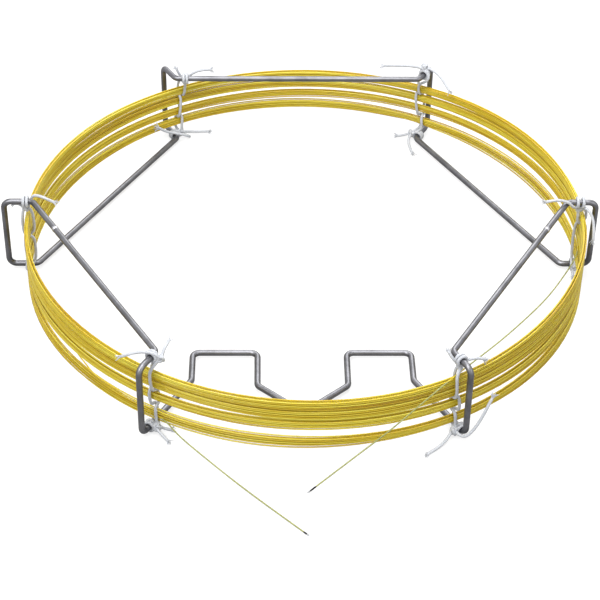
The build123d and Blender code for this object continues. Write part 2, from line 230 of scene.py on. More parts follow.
# ------------ how the bundles lie
# One row for each bundle and one value every 30 degrees round the coil, from the right post
# on, anticlockwise from above: the height of the bundle's middle and how tall it is, in mm.
BUNDLE_Z = {
    1: (20.75, 20.45, 19.95, 19.25, 19.25, 19.55, 19.85, 20.95, 20.25, 19.25, 19.55, 20.95),
    2: (16.55, 16.95, 16.25, 15.85, 15.65, 15.75, 15.95, 17.05, 17.15, 15.75, 15.85, 16.35),
    3: (12.15, 12.75, 12.15, 11.55, 11.25, 11.05, 11.15, 12.55, 12.45, 11.95, 11.25, 11.15),
    4: (5.55, 6.05, 6.85, 7.35, 7.15, 6.35, 5.85, 5.85, 5.45, 5.35, 5.25, 5.35),
}
BUNDLE_TALL = {
    1: (3.6, 3.2, 2.9, 3.2, 3.3, 3.6, 3.7, 3.9, 3.0, 3.2, 3.5, 4.4),
    2: (3.6, 3.2, 2.9, 3.2, 3.3, 3.6, 3.7, 3.9, 3.2, 3.6, 3.5, 4.2),
    3: (3.2, 2.7, 2.5, 2.9, 2.7, 3.0, 3.2, 3.0, 2.9, 3.2, 3.0, 3.6),
    4: (4.6, 4.8, 3.3, 3.2, 3.0, 3.5, 4.2, 5.0, 4.5, 3.9, 2.6, 4.4),
}
PINCH_SHARE = 0.25              # how much shorter a bundle is where a tie holds it
PINCH_DEGREES = 4.5
LEAST_TALL = 2.55
COLUMN_PITCH = 0.42             # between the three columns of turns in a bundle
ROWS = 5
STEP_TURNS = 0.15               # part of a round in which a turn moves to its next slot
# The capillary fills the bundles in this order; each entry ends at that many turns.
WINDING = ((3, 13.42), (2, 26.95), (1, 40.55), (4, 53.677))
COIL_START_DEGREES = -2.2
POINTS_PER_TURN = 24
CHANGE_TURNS = 0.085            # turns that the capillary takes from one bundle to the next
CONTROL_REACH = 0.99146         # radius of the spline of a turn over that of its points
STREAK_ANGLE_SCALE = 0.0009     # metres in the noise for a radian round the coil
OFF_REACH = 4.0                 # mm from the middle of the winding at which Off is 1
ALONE_FROM = 0.30               # Off from which a strand has the single strand's colour


# ------------ small helpers
def post_place(post, place):
    """Point in mm at a post from (out, side, up): the post's direction turned into x and y."""
    turn = math.radians(POST_ANGLES[post])
    out, side, up = place
    return np.array([
        out * math.cos(turn) - side * math.sin(turn),
        out * math.sin(turn) + side * math.cos(turn),
        up,
    ])


def unit(vectors):
    """Vectors divided by their own lengths, row by row."""
    lengths = np.linalg.norm(vectors, axis=-1, keepdims=True)
    return vectors / np.maximum(lengths, 1e-12)


def heading(start, end):
    """Unit vector from one point towards another."""
    return unit((np.asarray(end) - np.asarray(start))[None])[0]


def run_along(path):
    """Distance along a path to each of its points."""
    return np.r_[0.0, np.cumsum(np.linalg.norm(np.diff(path, axis=0), axis=1))]


def around_coil(values, turns):
    """Value at each number of turns: a smooth closed curve through twelve values round the coil.

    It is the trigonometric sum that passes through the values: the discrete Fourier
    transform of the row, read back at any angle.
    """
    row = np.asarray(values, float)
    waves = np.fft.rfft(row) / len(row)
    angle = 2 * np.pi * np.asarray(turns)[:, None] * np.arange(len(waves))
    weight = np.r_[1.0, np.full(len(waves) - 2, 2.0), 1.0]
    return (weight * (waves.real * np.cos(angle) - waves.imag * np.sin(angle))).sum(1)


def smooth_step(share):
    """0 below 0, 1 above 1, and a cubic with level ends between them."""
    share = np.clip(share, 0.0, 1.0)
    return share * share * (3 - 2 * share)


def wander(turns, seed, size):
    """Slow drift of a strand along its turns, in mm: four sines, none in step with a turn."""
    rng = np.random.default_rng(seed)
    rates = np.array([0.39, 0.83, 1.37, 2.61]) + rng.uniform(-0.05, 0.05, 4)
    phases = rng.uniform(0, 2 * np.pi, 4)
    shares = np.array([0.4, 0.3, 0.2, 0.1])
    return size * 1.6 * (shares * np.sin(2 * np.pi * np.outer(turns, rates) + phases)).sum(1)


def link(obj):
    bpy.context.scene.collection.objects.link(obj)
    return obj


def mesh_object(name, points, faces, material, smooth=True):
    """New mesh object at the origin from points in mm and a list of faces.

    Faces with more than four corners are end caps and stay flat.
    """
    mesh = bpy.data.meshes.new(name)
    mesh.from_pydata(np.asarray(points, float) * MM, [], [tuple(f) for f in faces])
    corners = np.array([len(face) for face in faces])
    mesh.polygons.foreach_set("use_smooth", smooth & (corners <= 4))
    mesh.materials.append(material)
    mesh.update()
    return link(bpy.data.objects.new(name, mesh))


def tube_faces(rows, columns):
    """Faces of a tube of rows rings with columns points each, with a cap at each end."""
    row = np.arange(rows - 1)[:, None]
    column = np.arange(columns)[None, :]
    following = (column + 1) % columns
    quads = np.stack([
        row * columns + column,
        row * columns + following,
        (row + 1) * columns + following,
        (row + 1) * columns + column,
    ], axis=-1)
    last = (rows - 1) * columns
    caps = [tuple(range(columns))[::-1], tuple(range(last, last + columns))]
    return [tuple(quad) for quad in quads.reshape(-1, 4)] + caps


def off_line(along):
    """A direction well away from the given one."""
    return np.array([0.0, 0.0, 1.0] if abs(along[2]) < 0.8 else [1.0, 0.0, 0.0])


def carried_frames(path):
    """Two directions across a path, square to each other, at each of its points.

    The first one starts as any that is square to the path. Each next one is the one before
    with its part along the path taken out, so the frame doesn't spin.
    """
    along = unit(np.gradient(path, axis=0))
    side = np.zeros_like(path)
    start = off_line(along[0])
    for i, direction in enumerate(along):
        start = start - direction * (start @ direction)
        start = start / np.linalg.norm(start)
        side[i] = start
    return side, np.cross(along, side)


def string_surface(path, radius, columns=15, lobes=3, lobe_depth=0.16, twist_length=2.6):
    """Points and faces of a twisted string along a path, in mm, closed at both ends.

    At each point of the path the section is a ring of radius r(a) = radius * (1 - depth +
    depth * |cos(lobes / 2 * (a - t))|), where t turns by one round for each twist length.
    """
    side, across = carried_frames(path)
    angle = np.linspace(0, 2 * np.pi, columns, endpoint=False)[None, :]
    turn = (2 * np.pi * run_along(path) / twist_length)[:, None]
    lobe = np.abs(np.cos(lobes / 2 * (angle - turn)))
    reach = np.asarray(radius).reshape(-1, 1) * (1 - lobe_depth + lobe_depth * lobe)
    ring = (
        path[:, None, :]
        + reach[..., None] * np.cos(angle)[..., None] * side[:, None, :]
        + reach[..., None] * np.sin(angle)[..., None] * across[:, None, :]
    )
    return ring.reshape(-1, 3), tube_faces(len(path), columns)


def joined(parts):
    """Several (points, faces) as one, with its points kept from the floor up to TOP_Z."""
    points, faces, base = [], [], 0
    for some_points, some_faces in parts:
        points.append(some_points)
        faces += [tuple(int(i) + base for i in f) for f in some_faces]
        base += len(some_points)
    points = np.concatenate(points)
    points[:, 2] = np.clip(points[:, 2], FLOOR_GAP, TOP_Z)
    return points, faces


def nurbs_line(name, route, resolution=6):
    """Curve object of one open NURBS spline of order 3 with the route as control points."""
    curve = bpy.data.curves.new(name, "CURVE")
    curve.dimensions = "3D"
    spline = curve.splines.new("NURBS")
    spline.points.add(len(route) - 1)
    places = np.c_[np.asarray(route, float) * MM, np.ones(len(route))]
    spline.points.foreach_set("co", places.ravel())
    spline.order_u = 3
    spline.use_endpoint_u = True
    spline.resolution_u = resolution
    return link(bpy.data.objects.new(name, curve))


def line_points(name, route, resolution=6):
    """Points in mm along the route's NURBS spline, read from the curve with no bevel."""
    holder = nurbs_line(name + "_line", route, resolution)
    bpy.context.view_layer.update()
    mesh = bpy.data.meshes.new_from_object(holder)
    places = np.zeros(len(mesh.vertices) * 3)
    mesh.vertices.foreach_get("co", places)
    bpy.data.objects.remove(holder)
    bpy.data.meshes.remove(mesh)
    return places.reshape(-1, 3) / MM


# ------------ materials
def set_values(node, **values):
    """Set inputs of a node, an underscore standing for a space, or else its own properties."""
    for key, value in values.items():
        label = key.replace("_", " ")
        if label in node.inputs:
            node.inputs[label].default_value = value
        else:
            setattr(node, key, value)
    return node


def add_node(tree, kind, **values):
    return set_values(tree.nodes.new("ShaderNode" + kind), **values)


def new_material(name, **values):
    """New material, its node tree, and its shader with these values."""
    material = bpy.data.materials.new(name)
    material.use_nodes = True
    tree = material.node_tree
    return material, tree, set_values(tree.nodes["Principled BSDF"], **values)


def effect_group(name, inputs, outputs):
    """Empty node group: inputs are (name, kind, default), outputs are (name, kind)."""
    group = bpy.data.node_groups.new(name, "ShaderNodeTree")
    for label, kind, default in inputs:
        socket = group.interface.new_socket(label, in_out="INPUT", socket_type=kind)
        if default is not None:
            socket.default_value = default
    for label, kind in outputs:
        group.interface.new_socket(label, in_out="OUTPUT", socket_type=kind)
    return group, group.nodes.new("NodeGroupInput"), group.nodes.new("NodeGroupOutput")


def shade(colour, factor):
    """Colour made darker or lighter, with no channel over 1."""
    return tuple(min(1.0, channel * factor) for channel in colour)


def ramp(tree, stops, source, target):
    """Colour ramp with (place, colour) stops from one socket to another."""
    node = add_node(tree, "ValToRGB")
    elements = node.color_ramp.elements
    while len(elements) < len(stops):
        elements.new(0.5)
    for element, (place, colour) in zip(elements, stops):
        element.position = place
        element.color = (*colour, 1.0)
    tree.links.new(source, node.inputs["Fac"])
    tree.links.new(node.outputs["Color"], target)


def math_node(tree, operation, first, second=None):
    """Output of a math node whose operands are sockets or plain numbers."""
    node = add_node(tree, "Math", operation=operation)
    for index, operand in enumerate((first, second)):
        if operand is None:
            continue
        if isinstance(operand, (int, float)):
            node.inputs[index].default_value = operand
        else:
            tree.links.new(operand, node.inputs[index])
    return node.outputs[0]


def fine_grain_group():
    """Fine grain of layered noise: its height, and a mask of it round a half."""
    group, source, sink = effect_group(
        "fine_grain",
        [("Vector", "NodeSocketVector", None), ("Scale", "NodeSocketFloat", 900.0),
         ("Contrast", "NodeSocketFloat", 1.0)],
        [("Height", "NodeSocketFloat"), ("Mask", "NodeSocketFloat")],
    )
    noise = add_node(group, "TexNoise", Detail=4.0, Roughness=0.6)
    group.links.new(source.outputs["Vector"], noise.inputs["Vector"])
    group.links.new(source.outputs["Scale"], noise.inputs["Scale"])
    centred = math_node(group, "SUBTRACT", noise.outputs["Fac"], 0.5)
    scaled = math_node(group, "MULTIPLY", centred, source.outputs["Contrast"])
    group.links.new(noise.outputs["Fac"], sink.inputs["Height"])
    group.links.new(math_node(group, "ADD", scaled, 0.5), sink.inputs["Mask"])
    return group


def coil_lines_group():
    """Long marks that run along the coil: noise over height and distance from the coil's axis; the
    coil's material paints its high values as highlight lines.

    The angle round the coil is scaled down, so a streak is long. Off grows with a point's
    distance from the middle of the winding, across it, up to 1 at OFF_REACH.
    """
    group, source, sink = effect_group(
        "coil_lines",
        [("Vector", "NodeSocketVector", None), ("Centre", "NodeSocketVector", None),
         ("Radius", "NodeSocketFloat", COIL_RADIUS * MM), ("Fineness", "NodeSocketFloat", 1200.0)],
        [("Streaks", "NodeSocketFloat"), ("Off", "NodeSocketFloat")],
    )
    moved = add_node(group, "VectorMath", operation="SUBTRACT")
    group.links.new(source.outputs["Vector"], moved.inputs[0])
    group.links.new(source.outputs["Centre"], moved.inputs[1])
    split = add_node(group, "SeparateXYZ")
    group.links.new(moved.outputs[0], split.inputs[0])
    x, y, z = split.outputs
    flat = math_node(group, "SQRT", math_node(
        group, "ADD", math_node(group, "MULTIPLY", x, x), math_node(group, "MULTIPLY", y, y)))
    angle = math_node(group, "MULTIPLY", math_node(group, "ARCTAN2", y, x), STREAK_ANGLE_SCALE)
    across = math_node(group, "SUBTRACT", flat, source.outputs["Radius"])
    place = add_node(group, "CombineXYZ")
    for index, value in enumerate((across, z, angle)):
        group.links.new(value, place.inputs[index])
    noise = add_node(group, "TexNoise", Detail=2.0, Roughness=0.55)
    group.links.new(place.outputs[0], noise.inputs["Vector"])
    group.links.new(source.outputs["Fineness"], noise.inputs["Scale"])
    group.links.new(noise.outputs["Fac"], sink.inputs["Streaks"])
    away = math_node(group, "MULTIPLY", math_node(group, "ABSOLUTE", across),
                     1 / (OFF_REACH * MM))
    group.links.new(math_node(group, "MINIMUM", away, 1.0), sink.inputs["Off"])
    return group


def place_group(tree, name, builder, **values):
    """Node of a shared group on Object coordinates. The first call builds the group."""
    group = bpy.data.node_groups.get(name) or builder()
    node = add_node(tree, "Group", node_tree=group, **values)
    tree.links.new(add_node(tree, "TexCoord").outputs["Object"], node.inputs["Vector"])
    return node


def fine_grain(tree, scale, contrast=1.0):
    return place_group(tree, "fine_grain", fine_grain_group, Scale=scale, Contrast=contrast)


def vary_roughness(tree, shader, grain, low, high):
    spread = add_node(tree, "MapRange", To_Min=low, To_Max=high)
    tree.links.new(grain.outputs["Mask"], spread.inputs["Value"])
    tree.links.new(spread.outputs["Result"], shader.inputs["Roughness"])


def add_bump(tree, shader, grain, strength, depth):
    """Bump from a grain's height, its depth in mm."""
    bump = add_node(tree, "Bump", Strength=strength, Distance=depth * MM)
    tree.links.new(grain.outputs["Height"], bump.inputs["Height"])
    tree.links.new(bump.outputs["Normal"], shader.inputs["Normal"])


def capillary_material(settings):
    """Amber coat over a clear tube: varied tone along the coil with painted highlight lines,
    duller where a strand runs alone.
    """
    material, tree, shader = new_material(
        "amber_capillary", IOR=1.45, Specular_IOR_Level=0.35, Coat_Weight=0.12,
        Coat_Roughness=0.10)
    lines = place_group(tree, "coil_lines", coil_lines_group, Centre=(COIL_SHIFT * MM, 0.0, 0.0))
    streaks_and_highlights = lines.outputs["Streaks"]
    mix = add_node(tree, "Mix", data_type="RGBA")
    wound, alone = mix.inputs[6], mix.inputs[7]
    # Dark, mid and light amber by the noise; the light amber is a painted highlight, lines of
    # light along the strands.
    ramp(tree, ((0.30, settings.amber_deep), (0.48, settings.amber),
                (0.66, settings.amber_highlight)), streaks_and_highlights, wound)
    # The free ends get the same painted highlight: lighter where the noise is high.
    ramp(tree, ((0.35, settings.single_strand), (0.7, shade(settings.single_strand, 1.2))),
         streaks_and_highlights, alone)
    off = math_node(tree, "GREATER_THAN", lines.outputs["Off"], ALONE_FROM)
    tree.links.new(off, mix.inputs["Factor"])
    tree.links.new(mix.outputs[2], shader.inputs["Base Color"])
    vary_roughness(tree, shader, fine_grain(tree, 4000.0), 0.16, 0.30)
    return material


def wire_material(settings):
    """Drawn stainless wire: satin grey with fine marks, smudges and a soft bump."""
    material, tree, shader = new_material("drawn_wire", Metallic=1.0)
    grain = fine_grain(tree, 2400.0, 1.4)
    smudge = fine_grain(tree, 180.0, 1.6)
    steel = settings.wire_colour
    ramp(tree, ((0.25, shade(steel, 0.78)), (0.5, steel), (0.75, shade(steel, 1.16))),
         smudge.outputs["Mask"], shader.inputs["Base Color"])
    vary_roughness(tree, shader, grain, 0.30, 0.40)
    add_bump(tree, shader, grain, 0.10, 0.02)
    return material


def string_material(settings):
    """White twisted glass-fibre string: a fine grain, greyer in patches, with a faint sheen."""
    material, tree, shader = new_material(
        "white_string", Roughness=0.55, Sheen_Weight=0.3, Sheen_Roughness=0.4,
        Subsurface_Weight=0.15, Subsurface_Radius=(0.0006, 0.0006, 0.0006))
    grain = fine_grain(tree, 3200.0, 1.5)
    white = settings.string_colour
    ramp(tree, ((0.25, shade(white, 0.82)), (0.6, white)),
         grain.outputs["Mask"], shader.inputs["Base Color"])
    add_bump(tree, shader, grain, 0.5, 0.06)
    return material


def weld_material():
    """Butt weld: bright in its middle, blackened beside it, bluish where the heat faded."""
    material, tree, shader = new_material("weld", Metallic=1.0)
    tint = add_node(tree, "Attribute", attribute_name="heat")
    ramp(tree, (
        (0.0, (0.55, 0.55, 0.58)), (0.10, (0.45, 0.45, 0.47)), (0.20, (0.02, 0.019, 0.022)),
        (0.66, (0.03, 0.027, 0.030)), (0.84, (0.11, 0.105, 0.14)), (1.0, (0.20, 0.20, 0.215)),
    ), tint.outputs["Fac"], shader.inputs["Base Color"])
    grain = fine_grain(tree, 3000.0, 2.0)
    vary_roughness(tree, shader, grain, 0.18, 0.45)
    add_bump(tree, shader, grain, 0.6, 0.08)
    return material


def char_material():
    """Burnt coat: brown at the coil's side, black and blistered at the melted end."""
    material, tree, shader = new_material("charred_coat", Roughness=0.45, Specular_IOR_Level=0.2)
    burn = add_node(tree, "Attribute", attribute_name="burn")
    ramp(tree, ((0.0, (0.10, 0.06, 0.015)), (0.12, (0.014, 0.012, 0.012)),
                (1.0, (0.006, 0.006, 0.007))), burn.outputs["Fac"], shader.inputs["Base Color"])
    add_bump(tree, shader, fine_grain(tree, 5000.0, 2.0), 0.7, 0.05)
    return material


def bead_material():
    """Melted fused silica: clear, with a faint smoky cloud."""
    material, tree, shader = new_material(
        "silica_bead", Roughness=0.06, IOR=1.46, Transmission_Weight=0.7)
    ramp(tree, ((0.3, (0.55, 0.57, 0.60)), (0.8, (0.93, 0.95, 0.97))),
         fine_grain(tree, 2500.0, 1.2).outputs["Mask"], shader.inputs["Base Color"])
    return material


def floor_material(settings):
    """Pale floor that shows white to the camera and keeps a faint shadow."""
    material, tree, shader = new_material(
        "pale_floor", Roughness=0.9, Specular_IOR_Level=0.0, Emission_Color=(1.0, 1.0, 1.0, 1.0))
    level = settings.floor_level
    ramp(tree, ((0.0, (level * 0.97,) * 3), (1.0, (level,) * 3)),
         fine_grain(tree, 30.0, 0.3).outputs["Mask"], shader.inputs["Base Color"])
    path = add_node(tree, "LightPath")
    seen = math_node(tree, "MULTIPLY", path.outputs["Is Camera Ray"], settings.floor_glow)
    tree.links.new(seen, shader.inputs["Emission Strength"])
    return material


# ------------ the capillary's line
def pinch(turns):
    """Share of its height that a bundle keeps: less at each of the six posts."""
    degrees = 360 * np.asarray(turns)
    held = np.zeros_like(degrees)
    for angle in POST_ANGLES.values():
        away = (degrees - angle + 180) % 360 - 180
        held = held + np.exp(-((away / PINCH_DEGREES) ** 2))
    return 1 - PINCH_SHARE * np.clip(held, 0, 1)


def bundle_shape(number, turns):
    """Height of a bundle's middle and how tall it is at each place round the coil, in mm."""
    middle = around_coil(BUNDLE_Z[number], turns)
    tall = around_coil(BUNDLE_TALL[number], turns) * pinch(turns)
    return middle, np.maximum(tall, LEAST_TALL)


def bundle_edges(number, post):
    """Lower and upper edge of a bundle at a post."""
    middle, tall = bundle_shape(number, np.array([POST_ANGLES[post] / 360]))
    return middle[0] - tall[0] / 2, middle[0] + tall[0] / 2


def snake_place(turns, lean):
    """Column and row, each from -1 to 1, of the line after that many turns in its bundle.

    The turns fill the inner column from below, then the outer one from above, and last the
    middle one, half a row off. A turn keeps its slot all the way round and moves on to the
    next in the first STEP_TURNS of a round, where all its neighbours do too, so no two share
    a place. At lean 1 the outer column stands two thirds of a row below the inner one, and at
    lean -1 above it.
    """
    columns = np.repeat([-1.0, 1.0, 0.0], (ROWS, ROWS, ROWS - 1))
    up = np.arange(ROWS) - (ROWS - 1) / 2
    rows = np.r_[up, up[::-1], up[:-1] + 0.5]
    known = np.arange(len(rows))
    whole = np.floor(turns)
    slots = np.clip(whole - 1 + smooth_step((turns - whole) / STEP_TURNS), 0, known[-1])
    column = np.interp(slots, known, columns)
    row = np.interp(slots, known, rows) - column * lean / 3
    return column, row / ((ROWS - 1) / 2 + 1 / 3)


def coil_points(settings):
    """Control points of the wound part, in mm, from its first turn to its last.

    The angle grows evenly. Radius and height follow the bundle that the turn lies in, the
    turn's place in it and a slow drift. From one bundle to the next the line eases over.
    """
    last = WINDING[-1][1]
    step = 1 / POINTS_PER_TURN
    turns = np.arange(0.4 * step, last - 0.3 * step, step)
    place = turns + COIL_START_DEGREES / 360
    strand_half = CAPILLARY_DIAMETER / 2
    lean = -np.sin(2 * np.pi * place)
    starts = [0.0] + [end for _, end in WINDING[:-1]]
    shapes = []
    for (number, end), start in zip(WINDING, starts):
        middle, tall = bundle_shape(number, place)
        column, row = snake_place(np.clip(turns - start, 0, end - start), lean)
        shapes.append((COLUMN_PITCH * column, middle + row * (tall / 2 - strand_half)))
    share = [smooth_step((turns - start) / CHANGE_TURNS) for start in starts[1:]]
    radius, height = shapes[0]
    for eased, shape in zip(share, shapes[1:]):
        radius = radius * (1 - eased) + shape[0] * eased
        height = height * (1 - eased) + shape[1] * eased
    behind = share[-1] * (1 - share[-1]) * 4          # the longest step passes inside the coil
    radius = radius - settings.behind_reach * behind
    radius = radius + wander(turns, 3, settings.drift_across)
    height = height + wander(turns, 8, settings.drift_up)
    angle = 2 * np.pi * place
    reach = (COIL_RADIUS + radius) / CONTROL_REACH
    return np.stack([COIL_SHIFT + reach * np.cos(angle), reach * np.sin(angle), height], axis=1)


# ------------ the ties' lines
def coil_reach(post):
    turn = math.radians(POST_ANGLES[post])
    across = COIL_SHIFT * math.sin(turn)
    return COIL_SHIFT * math.cos(turn) + math.sqrt(COIL_RADIUS**2 - across**2)


def weave(post, lean, swap, starts_inside, shift):
    """Points of one string from above the coil to below it, changing sides in the gaps."""
    reach = coil_reach(post)
    inside = starts_inside

    def lane(up):
        share = (COIL_TOP - up) / (COIL_TOP - COIL_BOTTOM)
        side = lean[0] + (lean[1] - lean[0]) * share + shift
        out = reach - LANE_OFFSET if inside else reach + LANE_OFFSET
        return post_place(post, (out, side, up))

    top = max(COIL_TOP + LANE_TOP_RISE, bundle_edges(1, post)[1] + LANE_CLEARANCE)
    bottom = min(COIL_BOTTOM - LANE_BOTTOM_DROP, bundle_edges(4, post)[0] - LANE_CLEARANCE)
    points = [lane(top)]
    for number in (1, 2, 3):
        height = (bundle_edges(number, post)[0] + bundle_edges(number + 1, post)[1]) / 2
        points.append(lane(height))
        if number in swap:
            inside = not inside
            points.append(lane(height))
        else:
            bulge = -LANE_BULGE if inside else LANE_BULGE
            points[-1] = points[-1] + post_place(post, (bulge, 0, 0))
    points.append(lane(bottom))
    return points


def string_route(post, letter):
    tie = TIES[post]
    sign = -1 if letter == "a" else 1
    upper_axis = post_place(post, tie["upper_lap"][1])
    lower_axis = post_place(post, tie["lower_lap"][1])
    rise = np.array((0.0, 0.0, UPPER_Z - TAILS_UPPER_Z))
    tail = [post_place(post, place) + rise for place in tie[f"{letter}_tail"]]
    foot = [post_place(post, place) for place in tie[f"{letter}_foot"]]
    upper_step = sign * tie.get("upper_order", 1) * KNOT_STRAND_OFFSET
    lower_step = sign * tie.get("lower_order", 1) * KNOT_STRAND_OFFSET
    upper = post_place(post, tie["upper_knot"]) + upper_axis * upper_step
    lower = post_place(post, tie["lower_knot"]) + lower_axis * lower_step
    drop = [post_place(post, place) + rise for place in tie.get(f"{letter}_drop", [])]
    shift = (-sign if tie.get("crossed") else sign) * STRING_SPACING / 2
    lanes = weave(post, tie["lean"], tie["swap"], letter == "a", shift)
    return tail + [upper] + drop + lanes + [lower] + foot[::-1]


def string_parts(path, radius, seed):
    """A string with a flared brush of filaments at each end, as (points, faces) in mm."""
    rng = np.random.default_rng(seed)
    distance = run_along(path)
    left = np.minimum(distance, distance[-1] - distance)
    swell = 1 + 0.05 * np.sin(distance * 2.1 + seed) + 0.03 * np.sin(distance * 5.3)
    taper = 1 - END_THINNING + END_THINNING * smooth_step(left / THINNING_LENGTH)
    body = np.minimum(radius * swell * taper, radius)
    parts = [string_surface(path, body)]
    for end, inner in ((0, 1), (-1, -2)):
        along = heading(path[inner], path[end])
        base = path[end] - along * FILAMENT_ROOT
        for _ in range(FILAMENTS):
            lean = rng.normal(0, FILAMENT_LEAN, 3)
            lean = lean - along * (lean @ along)
            reach = rng.uniform(*FILAMENT_REACH)
            share = np.linspace(0, 1, 7)[:, None]
            line = base + along * share * reach + lean * share**1.6 * reach
            line = line + lean * FILAMENT_SPREAD
            line[:, 2] = np.maximum(line[:, 2], FILAMENT_FLOOR)
            parts.append(string_surface(line, FILAMENT_RADIUS - FILAMENT_TAPER * share[:, 0],
                                        columns=6, lobe_depth=0.0))
    return parts


def knot_parts(post, place_key, lap_key):
    """Two laps round the wire and the lump of a tied knot beside them, as (points, faces)."""
    tie = TIES[post]
    place, direction, half_spacing = tie[lap_key]
    axis = post_place(post, direction)
    centre = post_place(post, place)
    upward = np.array([0.0, 0.0, 1.0])
    across = np.cross(axis, upward)
    turn = np.linspace(0, 2 * np.pi, 49)[:, None]
    parts = []
    for offset in (-half_spacing, half_spacing):
        ring = centre + axis * offset + LAP_RADIUS * (
            np.cos(turn) * across + np.sin(turn) * upward)
        parts.append(string_surface(ring, STRING_RADIUS))
    middle = post_place(post, tie[place_key])
    turn = np.linspace(0, 2 * np.pi, 97)[:, None]
    loop = middle + (
        KNOT_LOOP * (np.sin(turn) + 2 * np.sin(2 * turn)) * axis
        + KNOT_LOOP * (np.cos(turn) - 2 * np.cos(2 * turn)) * across
        - KNOT_LOOP_RISE * np.sin(3 * turn) * upward)
    parts.append(string_surface(loop, STRING_RADIUS * KNOT_STRAND))
    return parts


# ------------ turned pieces
def turned(origin, along, stations, radii, roughness, seed, columns=TIP_COLUMNS):
    """Surface of revolution about a line, with dents, closed at both ends.

    A point lies s along the line and r(s) * (1 - roughness * (1 + lump(a, s)) / 2) out from
    it, where a goes round. The lump is the mean of three waves, each with a seeded phase.
    """
    rng = np.random.default_rng(seed)
    along = np.asarray(along, float) / np.linalg.norm(along)
    side = np.cross(off_line(along), along)
    side = side / np.linalg.norm(side)
    across = np.cross(along, side)
    angle = np.linspace(0, 2 * np.pi, columns, endpoint=False)[None, :]
    s = np.asarray(stations, float)[:, None]
    lump = np.zeros((len(stations), columns))
    for waves, pace in ((2, 3.1), (3, 7.3), (5, 13.7)):
        lump = lump + np.sin(waves * angle + pace * s + rng.uniform(0, 6.28)) / 3
    reach = np.asarray(radii, float)[:, None] * (1 - roughness * (0.5 + 0.5 * lump))
    points = (
        np.asarray(origin, float) + s[..., None] * along
        + (reach * np.cos(angle))[..., None] * side
        + (reach * np.sin(angle))[..., None] * across
    ).reshape(-1, 3)
    return points, tube_faces(len(stations), columns)


def store_value(obj, name, values):
    attribute = obj.data.attributes.new(name, "FLOAT", "POINT")
    attribute.data.foreach_set("value", np.asarray(values, np.float32))


# ------------ settings
def colour_property(name, description, default):
    return FloatVectorProperty(name=name, description=description, subtype="COLOR",
                               default=default)


class CoilSettings(bpy.types.PropertyGroup):
    length: FloatProperty(name="Length", description="Real length of the capillary",
                          default=30.0, unit="LENGTH")
    diameter: FloatProperty(name="Diameter", description="Outside diameter of the capillary",
                            default=0.00045, unit="LENGTH", precision=5)
    drift_across: FloatProperty(name="Drift across", description="Drift of a turn in mm",
                                default=0.025)
    drift_up: FloatProperty(name="Drift up", description="Upward drift of a turn in mm",
                            default=0.07)
    behind_reach: FloatProperty(
        name="Step inside", description="How far inside the coil its longest step runs, in mm",
        default=1.2)
    sides: IntProperty(name="Sides", description="Bevel resolution of the tube", default=2)
    amber_deep: colour_property("Deep amber", "Colour of dark streaks", (0.49, 0.30, 0.0105))
    amber: colour_property("Amber", "Colour of most of the coil", (0.65, 0.477, 0.0226))
    # The bright amber is a painted highlight: the colour of the lines of light along the strands.
    amber_highlight: colour_property("Bright amber", "Colour of light streaks",
                                  (0.77, 0.665, 0.074))
    single_strand: colour_property("Single strand", "Colour of a free end",
                                   (0.30, 0.31, 0.105))


class StringSettings(bpy.types.PropertyGroup):
    diameter: FloatProperty(name="Diameter", description="Diameter of a tie's string",
                            default=0.001, unit="LENGTH", precision=4)
    string_colour: colour_property("Colour", "Colour of the string", (0.60, 0.62, 0.66))


class WireSettings(bpy.types.PropertyGroup):
    wire_colour: colour_property("Colour", "Colour of the cage wire", (0.20, 0.20, 0.215))


class StageSettings(bpy.types.PropertyGroup):
    floor_level: FloatProperty(name="Floor level", description="Lightness of the floor",
                               default=0.35)
    floor_glow: FloatProperty(name="Floor glow", description="Light that the camera sees of it",
                              default=0.72)
    surround: FloatProperty(name="Surround", description="Strength of the light all round",
                            default=0.55)
    lens: FloatProperty(name="Lens", description="Focal length in mm", default=110.53)


